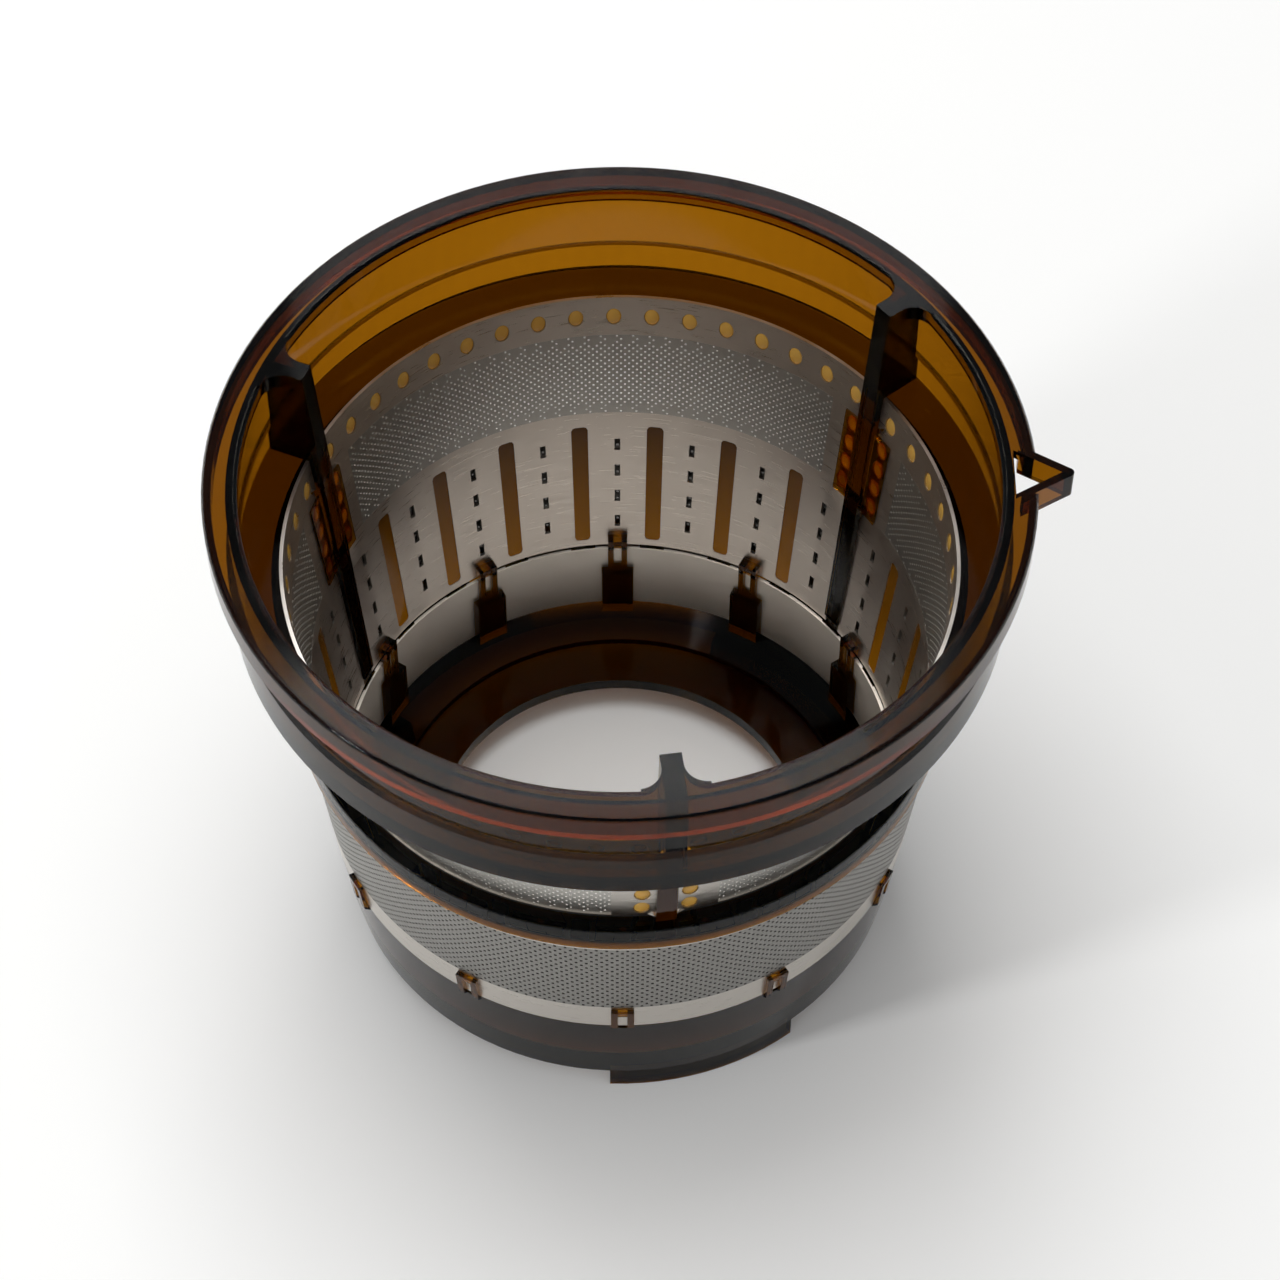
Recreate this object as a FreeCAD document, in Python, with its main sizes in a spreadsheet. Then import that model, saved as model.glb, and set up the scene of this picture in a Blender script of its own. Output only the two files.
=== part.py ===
"""Screen drum of a slow juicer: a moulded plastic frame that holds perforated steel sheets.

The axis is Z, with the underside of the base ring at Z = 0 and the feet below it.
The locating lug points along +X.
All lengths are millimetres and all angles are degrees.
"""
import FreeCAD, Part
import os
import Sketcher

Vector = FreeCAD.Vector

# Driving dimensions: alias, size, meaning
DIMENSIONS = [
    ("overall_height", 96.4, "foot plane to rim top"),
    ("screen_top_radius", 48.35, "inner face of the screen at the ledge"),
    ("screen_bottom_radius", 42.55, "inner face of the screen at its lower edge"),
    ("sheet_thickness", 0.5, "steel sheet"),
    ("rim_thickness", 4.5, "height of the rim flange"),
    ("rim_width", 5.0, "width of the rim flange"),
    ("rim_bevel", 0.6, "bevel of the rim's upper edges"),
    ("rim_wall", 1.3, "outer wall of the rim, beside the groove under it"),
    ("rim_plate", 1.6, "plate of the rim, over that groove"),
    ("lip_height", 2.5, "depth of the lip inside the rim"),
    ("lip_step", 0.6, "lip stands in from the collar wall"),
    ("collar_wall", 1.1, "thin wall of the collar"),
    ("collar_band", 0.8, "lower band of the collar stands out"),
    ("collar_band_height", 7.8, "height of the collar's lower band"),
    ("collar_band_bevel", 0.6, "slope above the lower band"),
    ("collar_jog", 0.8, "inner wall steps out at the lower band"),
    ("edge_bevel", 0.4, "bevel of the collar's and the hoop's outer edges"),
    ("ledge_depth", 18.4, "rim top to ledge"),
    ("ledge_width", 5.75, "ledge, from the screen to the collar wall"),
    ("ledge_thickness", 3.0, "plastic under the ledge"),
    ("skirt_drop", 4.0, "skirt below the collar"),
    ("skirt_wall", 1.6, "skirt behind the screen's upper margin"),
    ("hoop_depth", 43.0, "rim top to hoop"),
    ("hoop_height", 5.0, "height of the hoop"),
    ("hoop_cover", 0.8, "hoop stands out from the sleeve"),
    ("sleeve_gap", 1.85, "screen to sleeve, filled by the bars"),
    ("sleeve_grip", 1.5, "depth of the sleeve inside the hoop"),
    ("foot_height", 4.0, "feet below the base ring"),
    ("foot_span", 40.0, "arc of one foot"),
    ("foot_angle", 48.0, "middle of the first foot"),
    ("foot_count", 3, "feet"),
    ("foot_wall", 2.4, "radial width of a foot"),
    ("base_height", 17.4, "height of the base ring, without its feet"),
    ("base_draft", 1.7, "inward slope of the base ring's wall"),
    ("base_bevel", 0.6, "inward slope of the base ring's lower edge"),
    ("base_bevel_height", 3.4, "height of that slope"),
    ("floor_height", 6.2, "base ring underside to the floor's outer edge"),
    ("floor_fall", 2.8, "fall of the floor towards the bore"),
    ("floor_width", 5.8, "width of the sloping floor"),
    ("bore_radius", 28.8, "opening in the floor"),
    ("bore_length", 2.2, "thickness of the flange round the bore"),
    ("screen_lift", 3.2, "base ring top to the screen's lower edge"),
    ("band_gap", 0.4, "between the screen and the lower band"),
    ("band_step", 0.55, "lower band stands in from the screen"),
    ("rib_count", 3, "guide ribs"),
    ("rib_angle", 38.0, "first rib from the lug"),
    ("rib_width", 3.0, "thickness of a rib"),
    ("rib_reach", 5.3, "rib tip stands in from the lip at the rim"),
    ("rib_proud", 0.5, "rib tip stands in from the screen's lower part"),
    ("rib_end", 1.8, "rib end above the screen's lower edge"),
    ("rib_back", 1.1, "rib behind the screen"),
    ("rib_flange", 0.35, "thin flange beside a rib, over the screen's edge"),
    ("rib_flange_width", 9.6, "width of both flanges and the rib between them"),
    ("head_round", 3.2, "hollow flanks of the rib's head"),
    ("bar_count", 24, "bars behind the slots, ribs included"),
    ("bar_width", 4.2, "width of a bar"),
    ("post_width", 5.2, "post on the floor"),
    ("post_depth", 1.5, "post stands in from the lower band"),
    ("post_drop", 2.0, "post top below the base ring's top"),
    ("prong_width", 3.1, "prong on the post"),
    ("prong_height", 7.5, "prong above its post"),
    ("prong_cover", 0.8, "prong over the sheets, inside and outside"),
    ("prong_window", 1.3, "window in the prong"),
    ("prong_arch", 1.0, "plastic above and below the window"),
    ("lug_reach", 5.7, "lug beyond the rim"),
    ("lug_wall", 1.2, "wall of the lug"),
    ("lug_half_angle", 30.5, "half the lug's angle"),
    ("lug_round", 0.7, "rounding of the lug's tip"),
    ("anchor_diameter", 2.6, "anchor holes"),
    ("anchor_count", 17, "anchor holes along one screen's upper edge"),
    ("anchor_pitch", 6.9, "angle from one anchor hole to the next"),
    ("anchor_drop", 3.9, "ledge to anchor holes"),
    ("mesh_count", 19, "slits across the mesh zone"),
    ("mesh_half_span", 50.5, "half the mesh zone's arc"),
    ("mesh_slit_width", 2.0, "one slit of the mesh zone"),
    ("mesh_top_drop", 7.6, "ledge to the mesh zone"),
    ("mesh_bottom_rise", 0.6, "hoop to the mesh zone"),
    ("mesh_tooth", 1.1, "serrated edge of the mesh zone"),
    ("slot_width", 2.6, "slots between the slit columns"),
    ("slot_top_drop", 2.3, "hoop top to slot"),
    ("slot_bottom_rise", 1.3, "screen's lower edge to slot"),
    ("slit_rows", 4, "slits in one column"),
    ("slit_width", 0.9, "one slit"),
    ("slit_length", 2.5, "one slit"),
    ("sleeve_slit_count", 36, "slits round the sleeve"),
    ("sleeve_slit_width", 1.8, "one slit of the sleeve"),
    ("sleeve_margin", 6.2, "plain lower edge of the sleeve"),
    ("sleeve_top_margin", 1.4, "plain strip below the hoop"),
]

doc = FreeCAD.newDocument("JuicerScreen")
sheet = doc.addObject("Spreadsheet::Sheet", "Dimensions")
for row, (alias, size, meaning) in enumerate(DIMENSIONS, start=1):
    sheet.set(f"A{row}", meaning)
    sheet.set(f"B{row}", str(size))
    sheet.setAlias(f"B{row}", alias)
doc.recompute()


def cell(alias):
    """Formula that reads one driving dimension."""
    return f"Dimensions.{alias}"


def size_of(formula):
    """Present value of a formula."""
    return float(sheet.evalExpression(formula))


# Levels above the base ring's underside, as formulas
FOOT_PLANE = f"(-{cell('foot_height')})"
RIM_TOP = f"({cell('overall_height')} - {cell('foot_height')})"
RIM_UNDER = f"({RIM_TOP} - {cell('rim_thickness')})"
LIP_UNDER = f"({RIM_TOP} - {cell('lip_height')})"
LEDGE = f"({RIM_TOP} - {cell('ledge_depth')})"
COLLAR_UNDER = f"({LEDGE} - {cell('ledge_thickness')})"
COLLAR_BAND_TOP = f"({COLLAR_UNDER} + {cell('collar_band_height')})"
SKIRT_BOTTOM = f"({COLLAR_UNDER} - {cell('skirt_drop')})"
HOOP_TOP = f"({RIM_TOP} - {cell('hoop_depth')})"
HOOP_BOTTOM = f"({HOOP_TOP} - {cell('hoop_height')})"
BASE_TOP = cell("base_height")
FLOOR_EDGE = cell("floor_height")
SCREEN_BOTTOM = f"({BASE_TOP} + {cell('screen_lift')})"
BAND_TOP = f"({SCREEN_BOTTOM} - {cell('band_gap')})"
POST_TOP = f"({BASE_TOP} - {cell('post_drop')})"
PRONG_TOP = f"({POST_TOP} + {cell('prong_height')})"
RIB_END = f"({SCREEN_BOTTOM} + {cell('rib_end')})"

# Radii, as formulas
TAPER = f"(({cell('screen_top_radius')} - {cell('screen_bottom_radius')}) / ({LEDGE} - {SCREEN_BOTTOM}))"
COLLAR_INNER = f"({cell('screen_top_radius')} + {cell('ledge_width')})"
COLLAR_OUTER = f"({COLLAR_INNER} + {cell('collar_wall')})"
BAND_OUTER = f"({COLLAR_OUTER} + {cell('collar_band')})"
LIP = f"({COLLAR_INNER} - {cell('lip_step')})"
RIM = f"({LIP} + {cell('rim_width')})"
LOWER_BAND_INNER = f"({cell('screen_bottom_radius')} - {cell('band_step')})"
LOWER_BAND_MIDDLE = f"({LOWER_BAND_INNER} + {cell('sheet_thickness')} / 2)"
COLLAR_MIDDLE = f"({COLLAR_INNER} + {cell('collar_wall')} / 2)"
FLOOR_STEP = f"({LOWER_BAND_INNER} - {cell('floor_width')})"

# Angles, as formulas
SLOT_PITCH = f"(360 / {cell('bar_count')})"
RIB_PITCH = f"(360 / {cell('rib_count')})"
POST_ANGLE = f"({cell('rib_angle')} + 1.5 * {SLOT_PITCH})"


def screen_inner(level):
    """Radius of the screen's inner face at a level."""
    return f"({cell('screen_bottom_radius')} + ({level} - {SCREEN_BOTTOM}) * {TAPER})"


def screen_middle(level):
    return f"({screen_inner(level)} + {cell('sheet_thickness')} / 2)"


def screen_outer(level):
    return f"({screen_inner(level)} + {cell('sheet_thickness')})"


def sleeve_inner(level):
    """Radius of the sleeve's inner face at a level: the sleeve runs parallel to the screen."""
    return f"({screen_outer(level)} + {cell('sleeve_gap')})"


def sleeve_middle(level):
    return f"({sleeve_inner(level)} + {cell('sheet_thickness')} / 2)"


def sleeve_outer(level):
    return f"({sleeve_inner(level)} + {cell('sheet_thickness')})"


def arc_of(width, radius):
    """Angle that a width takes up at a radius."""
    return f"(2 * asin({width} / 2 / {radius}))"


# Sketch helpers
def bind_point(sketch, line, across, up):
    """Tie the start of a line to two formulas, measured from the sketch's origin."""
    for kind, formula in (("DistanceX", across), ("DistanceY", up)):
        size = size_of(formula)
        number = sketch.addConstraint(Sketcher.Constraint(kind, -1, 1, line, 1, size))
        sketch.setExpression(f"Constraints[{number}]", formula)


def draw_polygon(sketch, corners):
    """Draw a closed polygon whose corners are pairs of formulas."""
    points = [Vector(size_of(across), size_of(up), 0) for across, up in corners]
    first = sketch.GeometryCount
    count = len(points)
    for index, point in enumerate(points):
        sketch.addGeometry(Part.LineSegment(point, points[(index + 1) % count]))
    for index in range(count):
        following = first + (index + 1) % count
        sketch.addConstraint(Sketcher.Constraint("Coincident", first + index, 2, following, 1))
    for index, (across, up) in enumerate(corners):
        bind_point(sketch, first + index, across, up)


def draw_circle(sketch, across, up, radius):
    """Draw a circle from three formulas."""
    centre = Vector(size_of(across), size_of(up), 0)
    circle = sketch.addGeometry(Part.Circle(centre, Vector(0, 0, 1), size_of(radius)))
    for kind, formula in (("DistanceX", across), ("DistanceY", up)):
        number = sketch.addConstraint(Sketcher.Constraint(kind, -1, 1, circle, 3, size_of(formula)))
        sketch.setExpression(f"Constraints[{number}]", formula)
    number = sketch.addConstraint(Sketcher.Constraint("Radius", circle, size_of(radius)))
    sketch.setExpression(f"Constraints[{number}]", radius)


def origin_part(body, role):
    """Plane or axis of a body's own origin."""
    for feature in body.Origin.OriginFeatures:
        if feature.Role == role:
            return feature
    raise ValueError(role)


def side_sketch(body, name, corners, angle=None):
    """Polygon of radius against height, in the half plane at an angle round the axis."""
    sketch = body.newObject("Sketcher::SketchObject", name)
    sketch.AttachmentSupport = [(origin_part(body, "XZ_Plane"), "")]
    sketch.MapMode = "FlatFace"
    if angle:
        upright = Vector(0, 1, 0)
        sketch.AttachmentOffset = FreeCAD.Placement(Vector(), FreeCAD.Rotation(upright, size_of(angle)))
        sketch.setExpression("AttachmentOffset.Rotation.Angle", angle)
    draw_polygon(sketch, corners)
    return sketch


def plan_sketch(body, name, level, angle=None):
    """Empty sketch that lies flat at a level, turned by an angle round the axis."""
    sketch = body.newObject("Sketcher::SketchObject", name)
    sketch.AttachmentSupport = [(origin_part(body, "XY_Plane"), "")]
    sketch.MapMode = "FlatFace"
    turn = FreeCAD.Rotation(Vector(0, 0, 1), size_of(angle) if angle else 0)
    sketch.AttachmentOffset = FreeCAD.Placement(Vector(0, 0, size_of(level)), turn)
    sketch.setExpression("AttachmentOffset.Base.z", level)
    if angle:
        sketch.setExpression("AttachmentOffset.Rotation.Angle", angle)
    return sketch


# Feature helpers
def revolve(body, name, sketch, span=None):
    """Turn a profile round the axis, all the way or over an arc centred on its sketch."""
    feature = body.newObject("PartDesign::Revolution", name)
    feature.Profile = sketch
    feature.ReferenceAxis = (sketch, ["V_Axis"])
    feature.Angle = 360
    if span:
        feature.Midplane = True
        feature.setExpression("Angle", span)
    doc.recompute()
    return feature


def groove(body, name, sketch, span):
    """Cut a profile out over an arc centred on its sketch."""
    feature = body.newObject("PartDesign::Groove", name)
    feature.Profile = sketch
    feature.ReferenceAxis = (sketch, ["V_Axis"])
    feature.Midplane = True
    feature.setExpression("Angle", span)
    before = feature.BaseFeature.Shape.Volume
    doc.recompute()
    if feature.Shape.Volume >= before:
        raise ValueError(f"{name} cuts nothing")
    return feature


def pad(body, name, sketch, length, symmetric=True, downwards=False):
    """Thicken a profile, about its plane or to one side of it."""
    feature = body.newObject("PartDesign::Pad", name)
    feature.Profile = sketch
    feature.SideType = "Symmetric" if symmetric else "One side"
    feature.Reversed = downwards
    feature.setExpression("Length", length)
    doc.recompute()
    return feature


def pocket(body, name, sketch, length):
    """Cut a profile into the body, downwards from its plane."""
    feature = body.newObject("PartDesign::Pocket", name)
    feature.Profile = sketch
    feature.SideType = "One side"
    feature.setExpression("Length", length)
    before = feature.BaseFeature.Shape.Volume
    doc.recompute()
    if feature.Shape.Volume >= before:
        raise ValueError(f"{name} cuts nothing")
    return feature


def repeat(body, name, features, count):
    """Repeat features evenly round the axis."""
    feature = body.newObject("PartDesign::PolarPattern", name)
    feature.Originals = features
    feature.Axis = (origin_part(body, "Z_Axis"), [""])
    feature.Angle = 360
    feature.setExpression("Occurrences", count)
    body.Tip = feature
    doc.recompute()
    return feature


# Moulded frame
def add_collar(body):
    """Rim with its lip and a groove under it, thin collar wall, ledge and the skirt behind the screens."""
    profile = [
        (f"{LIP} + {cell('rim_bevel')}", RIM_TOP),
        (f"{RIM} - {cell('rim_bevel')}", RIM_TOP),
        (RIM, f"{RIM_TOP} - {cell('rim_bevel')}"),
        (RIM, RIM_UNDER),
        (f"{RIM} - {cell('rim_wall')}", RIM_UNDER),
        (f"{RIM} - {cell('rim_wall')}", f"{RIM_TOP} - {cell('rim_plate')}"),
        (COLLAR_OUTER, f"{RIM_TOP} - {cell('rim_plate')}"),
        (COLLAR_OUTER, f"{COLLAR_BAND_TOP} + {cell('collar_band_bevel')}"),
        (BAND_OUTER, COLLAR_BAND_TOP),
        (BAND_OUTER, f"{COLLAR_UNDER} + {cell('edge_bevel')}"),
        (f"{BAND_OUTER} - {cell('edge_bevel')}", COLLAR_UNDER),
        (f"{screen_outer(COLLAR_UNDER)} + {cell('skirt_wall')}", COLLAR_UNDER),
        (f"{screen_outer(SKIRT_BOTTOM)} + {cell('skirt_wall')}", SKIRT_BOTTOM),
        (screen_middle(SKIRT_BOTTOM), SKIRT_BOTTOM),
        (screen_middle(LEDGE), LEDGE),
        (f"{COLLAR_INNER} + {cell('collar_jog')}", LEDGE),
        (f"{COLLAR_INNER} + {cell('collar_jog')}", COLLAR_BAND_TOP),
        (COLLAR_INNER, f"{COLLAR_BAND_TOP} + {cell('collar_band_bevel')}"),
        (COLLAR_INNER, LIP_UNDER),
        (LIP, LIP_UNDER),
        (LIP, f"{RIM_TOP} - {cell('rim_bevel')}"),
    ]
    revolve(body, "Collar", side_sketch(body, "CollarProfile", profile))


def add_ribs(body):
    """Guide ribs inside the drum, which carry the hoop, part the screens and hold their edges."""
    tip_at_rim = f"({LIP} - {cell('rib_reach')})"
    tip_at_end = f"({screen_inner(RIB_END)} - {cell('rib_proud')})"
    under_ledge = f"({COLLAR_UNDER} + {cell('ledge_thickness')} / 2)"
    hoop_middle = f"({HOOP_TOP} - {cell('hoop_height')} / 2)"
    profile = [
        (tip_at_rim, RIM_TOP),
        (COLLAR_MIDDLE, RIM_TOP),
        (COLLAR_MIDDLE, under_ledge),
        (f"{screen_outer(under_ledge)} + {cell('rib_back')}", under_ledge),
        (f"{screen_outer(hoop_middle)} + {cell('rib_back')}", hoop_middle),
        (f"{screen_outer(RIB_END)} + {cell('rib_back')}", RIB_END),
        (tip_at_end, RIB_END),
    ]
    angle = cell("rib_angle")
    rib = pad(body, "Rib", side_sketch(body, "RibProfile", profile, angle), cell("rib_width"))
    half_head = f"({cell('rib_width')} / 2 + {cell('head_round')})"
    flank = f"(sqrt({LIP} ^ 2 - {half_head} ^ 2) - {cell('head_round')})"
    outline = plan_sketch(body, "HeadOutline", RIM_TOP, angle)
    draw_polygon(outline, [
        (flank, f"-{half_head}"),
        (COLLAR_MIDDLE, f"-{half_head}"),
        (COLLAR_MIDDLE, half_head),
        (flank, half_head),
    ])
    head = pad(body, "RibHead", outline, cell("lip_height"), symmetric=False, downwards=True)
    hollows = plan_sketch(body, "HeadHollows", RIM_TOP, angle)
    draw_circle(hollows, flank, half_head, cell("head_round"))
    draw_circle(hollows, flank, f"-{half_head}", cell("head_round"))
    hollow = pocket(body, "RibHeadHollows", hollows, cell("lip_height"))
    mesh_top = f"({LEDGE} - {cell('mesh_top_drop')})"
    flange_profile = [
        (f"{screen_inner(HOOP_TOP)} - {cell('rib_flange')}", HOOP_TOP),
        (screen_middle(HOOP_TOP), HOOP_TOP),
        (screen_middle(mesh_top), mesh_top),
        (f"{screen_inner(mesh_top)} - {cell('rib_flange')}", mesh_top),
    ]
    flange_sketch = side_sketch(body, "RibFlangeProfile", flange_profile, angle)
    flange_span = arc_of(cell("rib_flange_width"), screen_inner(HOOP_TOP))
    flange = revolve(body, "RibFlange", flange_sketch, flange_span)
    repeat(body, "Ribs", [rib, head, hollow, flange], cell("rib_count"))


def add_hoop(body):
    """Hoop between the mesh zone and the sleeve."""
    outer = f"({sleeve_outer(HOOP_BOTTOM)} + {cell('hoop_cover')})"
    profile = [
        (screen_middle(HOOP_TOP), HOOP_TOP),
        (f"{outer} - {cell('edge_bevel')}", HOOP_TOP),
        (outer, f"{HOOP_TOP} - {cell('edge_bevel')}"),
        (outer, f"{HOOP_BOTTOM} + {cell('edge_bevel')}"),
        (f"{outer} - {cell('edge_bevel')}", HOOP_BOTTOM),
        (screen_middle(HOOP_BOTTOM), HOOP_BOTTOM),
    ]
    revolve(body, "Hoop", side_sketch(body, "HoopProfile", profile))


def add_bars(body):
    """Upright bars between screen and sleeve, one behind each slot and each rib."""
    hoop_middle = f"({HOOP_TOP} - {cell('hoop_height')} / 2)"
    profile = [
        (screen_middle(hoop_middle), hoop_middle),
        (sleeve_middle(hoop_middle), hoop_middle),
        (sleeve_middle(BASE_TOP), BASE_TOP),
        (LOWER_BAND_MIDDLE, BASE_TOP),
        (LOWER_BAND_MIDDLE, BAND_TOP),
        (screen_middle(SCREEN_BOTTOM), SCREEN_BOTTOM),
    ]
    sketch = side_sketch(body, "BarProfile", profile, cell("rib_angle"))
    bar = revolve(body, "Bar", sketch, arc_of(cell("bar_width"), screen_outer(HOOP_BOTTOM)))
    repeat(body, "Bars", [bar], cell("bar_count"))


def add_base(body):
    """Base ring with a floor that falls to the flange round the bore."""
    low_radius = f"({sleeve_outer(BASE_TOP)} - {cell('base_draft')})"
    profile = [
        (sleeve_outer(BASE_TOP), BASE_TOP),
        (low_radius, cell("base_bevel_height")),
        (f"{low_radius} - {cell('base_bevel')}", "0"),
        (cell("bore_radius"), "0"),
        (cell("bore_radius"), cell("bore_length")),
        (FLOOR_STEP, cell("bore_length")),
        (FLOOR_STEP, f"{FLOOR_EDGE} - {cell('floor_fall')}"),
        (LOWER_BAND_MIDDLE, FLOOR_EDGE),
        (LOWER_BAND_MIDDLE, BASE_TOP),
    ]
    revolve(body, "BaseRing", side_sketch(body, "BaseProfile", profile))


def add_posts(body):
    """Posts on the floor, each with a windowed prong that clips the sheets inside and outside."""
    post_inner = f"({LOWER_BAND_INNER} - {cell('post_depth')})"
    post_foot = f"({FLOOR_EDGE} - {cell('floor_fall')})"
    block_profile = [
        (post_inner, post_foot),
        (LOWER_BAND_MIDDLE, post_foot),
        (LOWER_BAND_MIDDLE, POST_TOP),
        (post_inner, POST_TOP),
    ]
    block_sketch = side_sketch(body, "PostProfile", block_profile, POST_ANGLE)
    block = revolve(body, "Post", block_sketch, arc_of(cell("post_width"), LOWER_BAND_INNER))
    prong_inner = f"({LOWER_BAND_INNER} - {cell('prong_cover')})"
    prong_profile = [
        (prong_inner, f"{POST_TOP} - {cell('prong_arch')}"),
        (f"{sleeve_middle(BASE_TOP)} - {cell('base_draft')}", f"{POST_TOP} - {cell('prong_arch')}"),
        (f"{sleeve_outer(BASE_TOP)} + {cell('prong_cover')}", BASE_TOP),
        (f"{sleeve_outer(PRONG_TOP)} + {cell('prong_cover')}", PRONG_TOP),
        (prong_inner, PRONG_TOP),
    ]
    prong_sketch = side_sketch(body, "ProngProfile", prong_profile, POST_ANGLE)
    prong = revolve(body, "Prong", prong_sketch, arc_of(cell("prong_width"), LOWER_BAND_INNER))
    window_low = f"({POST_TOP} + {cell('prong_arch')})"
    window_high = f"({PRONG_TOP} - {cell('prong_arch')})"
    window_inner = f"({prong_inner} - {cell('post_depth')})"
    window_outer = f"({sleeve_outer(PRONG_TOP)} + {cell('post_depth')})"
    window_profile = [
        (window_inner, window_low),
        (window_outer, window_low),
        (window_outer, window_high),
        (window_inner, window_high),
    ]
    window_sketch = side_sketch(body, "WindowProfile", window_profile, POST_ANGLE)
    window = groove(body, "ProngWindow", window_sketch, arc_of(cell("prong_window"), LOWER_BAND_INNER))
    repeat(body, "Posts", [block, prong, window], f"{cell('bar_count')} / 2")


def add_feet(body):
    """Feet under the base ring's outer edge."""
    outer = f"({sleeve_outer(BASE_TOP)} - {cell('base_draft')} - {cell('base_bevel')})"
    profile = [
        (f"{outer} - {cell('foot_wall')}", FOOT_PLANE),
        (outer, FOOT_PLANE),
        (outer, "0"),
        (f"{outer} - {cell('foot_wall')}", "0"),
    ]
    sketch = side_sketch(body, "FootProfile", profile, cell("foot_angle"))
    foot = revolve(body, "Foot", sketch, cell("foot_span"))
    repeat(body, "Feet", [foot], cell("foot_count"))


def add_lug(body):
    """Locating lug: a strap bent to a point, open down to the collar wall."""
    slope = f"tan({cell('lug_half_angle')} * 1 deg)"
    tip = f"({RIM} + {cell('lug_reach')})"
    root = f"({RIM} - {cell('rim_width')} / 2)"
    root_half = f"(({tip} - {root}) * {slope})"
    outline = plan_sketch(body, "LugOutline", RIM_TOP)
    draw_polygon(outline, [(root, f"-{root_half}"), (tip, "0"), (root, root_half)])
    lug = pad(body, "Lug", outline, cell("rim_thickness"), symmetric=False, downwards=True)
    tip_edges = []
    for index, edge in enumerate(lug.Shape.Edges, start=1):
        middle = edge.CenterOfMass
        upright = edge.BoundBox.ZLength > size_of(cell("rim_thickness")) / 2
        if upright and abs(middle.x - size_of(tip)) < 1e-4:
            tip_edges.append(f"Edge{index}")
    rounding = body.newObject("PartDesign::Fillet", "LugTip")
    rounding.Base = (lug, tip_edges)
    rounding.setExpression("Radius", cell("lug_round"))
    doc.recompute()
    inner_tip = f"({tip} - {cell('lug_wall')} / sin({cell('lug_half_angle')} * 1 deg))"
    inner_half = f"(({inner_tip} - {COLLAR_OUTER}) * {slope})"
    opening = plan_sketch(body, "LugOpening", RIM_TOP)
    draw_polygon(opening, [(COLLAR_OUTER, f"-{inner_half}"), (inner_tip, "0"), (COLLAR_OUTER, inner_half)])
    pocket(body, "LugHole", opening, cell("rim_thickness"))


# Steel sheets before they are pierced
def turned_blank(name, corners):
    """Ring turned from a polygon of radius against height."""
    sketch = doc.addObject("Sketcher::SketchObject", name + "Profile")
    sketch.Placement = FreeCAD.Placement(Vector(), FreeCAD.Rotation(Vector(1, 0, 0), 90))
    draw_polygon(sketch, corners)
    ring = doc.addObject("Part::Revolution", name)
    ring.Source = sketch
    ring.Axis = Vector(0, 0, 1)
    ring.Angle = 360
    ring.Solid = True
    return ring


def screen_cone():
    return turned_blank("ScreenCone", [
        (screen_inner(SCREEN_BOTTOM), SCREEN_BOTTOM),
        (screen_outer(SCREEN_BOTTOM), SCREEN_BOTTOM),
        (screen_outer(LEDGE), LEDGE),
        (screen_inner(LEDGE), LEDGE),
    ])


def sleeve_blank():
    top = f"({HOOP_BOTTOM} + {cell('sleeve_grip')})"
    return turned_blank("SleeveBlank", [
        (sleeve_inner(BASE_TOP), BASE_TOP),
        (sleeve_outer(BASE_TOP), BASE_TOP),
        (sleeve_outer(top), top),
        (sleeve_inner(top), top),
    ])


def lower_band_ring():
    outer = f"({LOWER_BAND_INNER} + {cell('sheet_thickness')})"
    return turned_blank("LowerBand", [
        (LOWER_BAND_INNER, FLOOR_EDGE),
        (outer, FLOOR_EDGE),
        (outer, BAND_TOP),
        (LOWER_BAND_INNER, BAND_TOP),
    ])


def rib_slabs():
    """Slabs as thick as the ribs, which part the screen cone into segments."""
    slabs = []
    for number in range(int(size_of(cell("rib_count")))):
        slab = doc.addObject("Part::Box", f"RibSlab{number + 1}")
        slab.setExpression("Length", RIM)
        slab.setExpression("Width", cell("rib_width"))
        slab.setExpression("Height", RIM_TOP)
        turn = FreeCAD.Rotation(Vector(0, 0, 1), 1)
        slab.Placement = FreeCAD.Placement(Vector(), turn)
        angle = f"({cell('rib_angle')} + {number} * {RIB_PITCH})"
        slab.setExpression("Placement.Rotation.Angle", angle)
        slab.setExpression("Placement.Base.x", f"{cell('rib_width')} / 2 * sin({angle} * 1 deg)")
        slab.setExpression("Placement.Base.y", f"-{cell('rib_width')} / 2 * cos({angle} * 1 deg)")
        slabs.append(slab)
    fused = doc.addObject("Part::MultiFuse", "RibSlabs")
    fused.Shapes = slabs
    return fused


# Cutters for the perforations
def slot_cutter(angle, low, high, width, radius):
    """Upright slot with radial sides, at an angle round the axis, as wide as stated at a radius."""
    span = size_of(arc_of(width, radius))
    reach = size_of(RIM)
    cutter = Part.makeCylinder(reach, high - low, Vector(0, 0, low), Vector(0, 0, 1), span)
    cutter.rotate(Vector(), Vector(0, 0, 1), angle - span / 2)
    return cutter


def screen_slot(angle, low, high, width):
    middle = (low + high) / 2
    return slot_cutter(angle, low, high, width, size_of(screen_inner(f"({middle})")))


def screen_hole(angle, level):
    """Anchor hole with six sides, square to the axis."""
    radius = size_of(cell("anchor_diameter")) / 2
    corners = []
    for index in range(7):
        turn = FreeCAD.Rotation(Vector(1, 0, 0), 60 * index)
        corners.append(turn.multVec(Vector(0, radius, 0)) + Vector(0, 0, level))
    cutter = Part.Face(Part.makePolygon(corners)).extrude(Vector(size_of(RIM), 0, 0))
    cutter.rotate(Vector(), Vector(0, 0, 1), angle)
    return cutter


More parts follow.
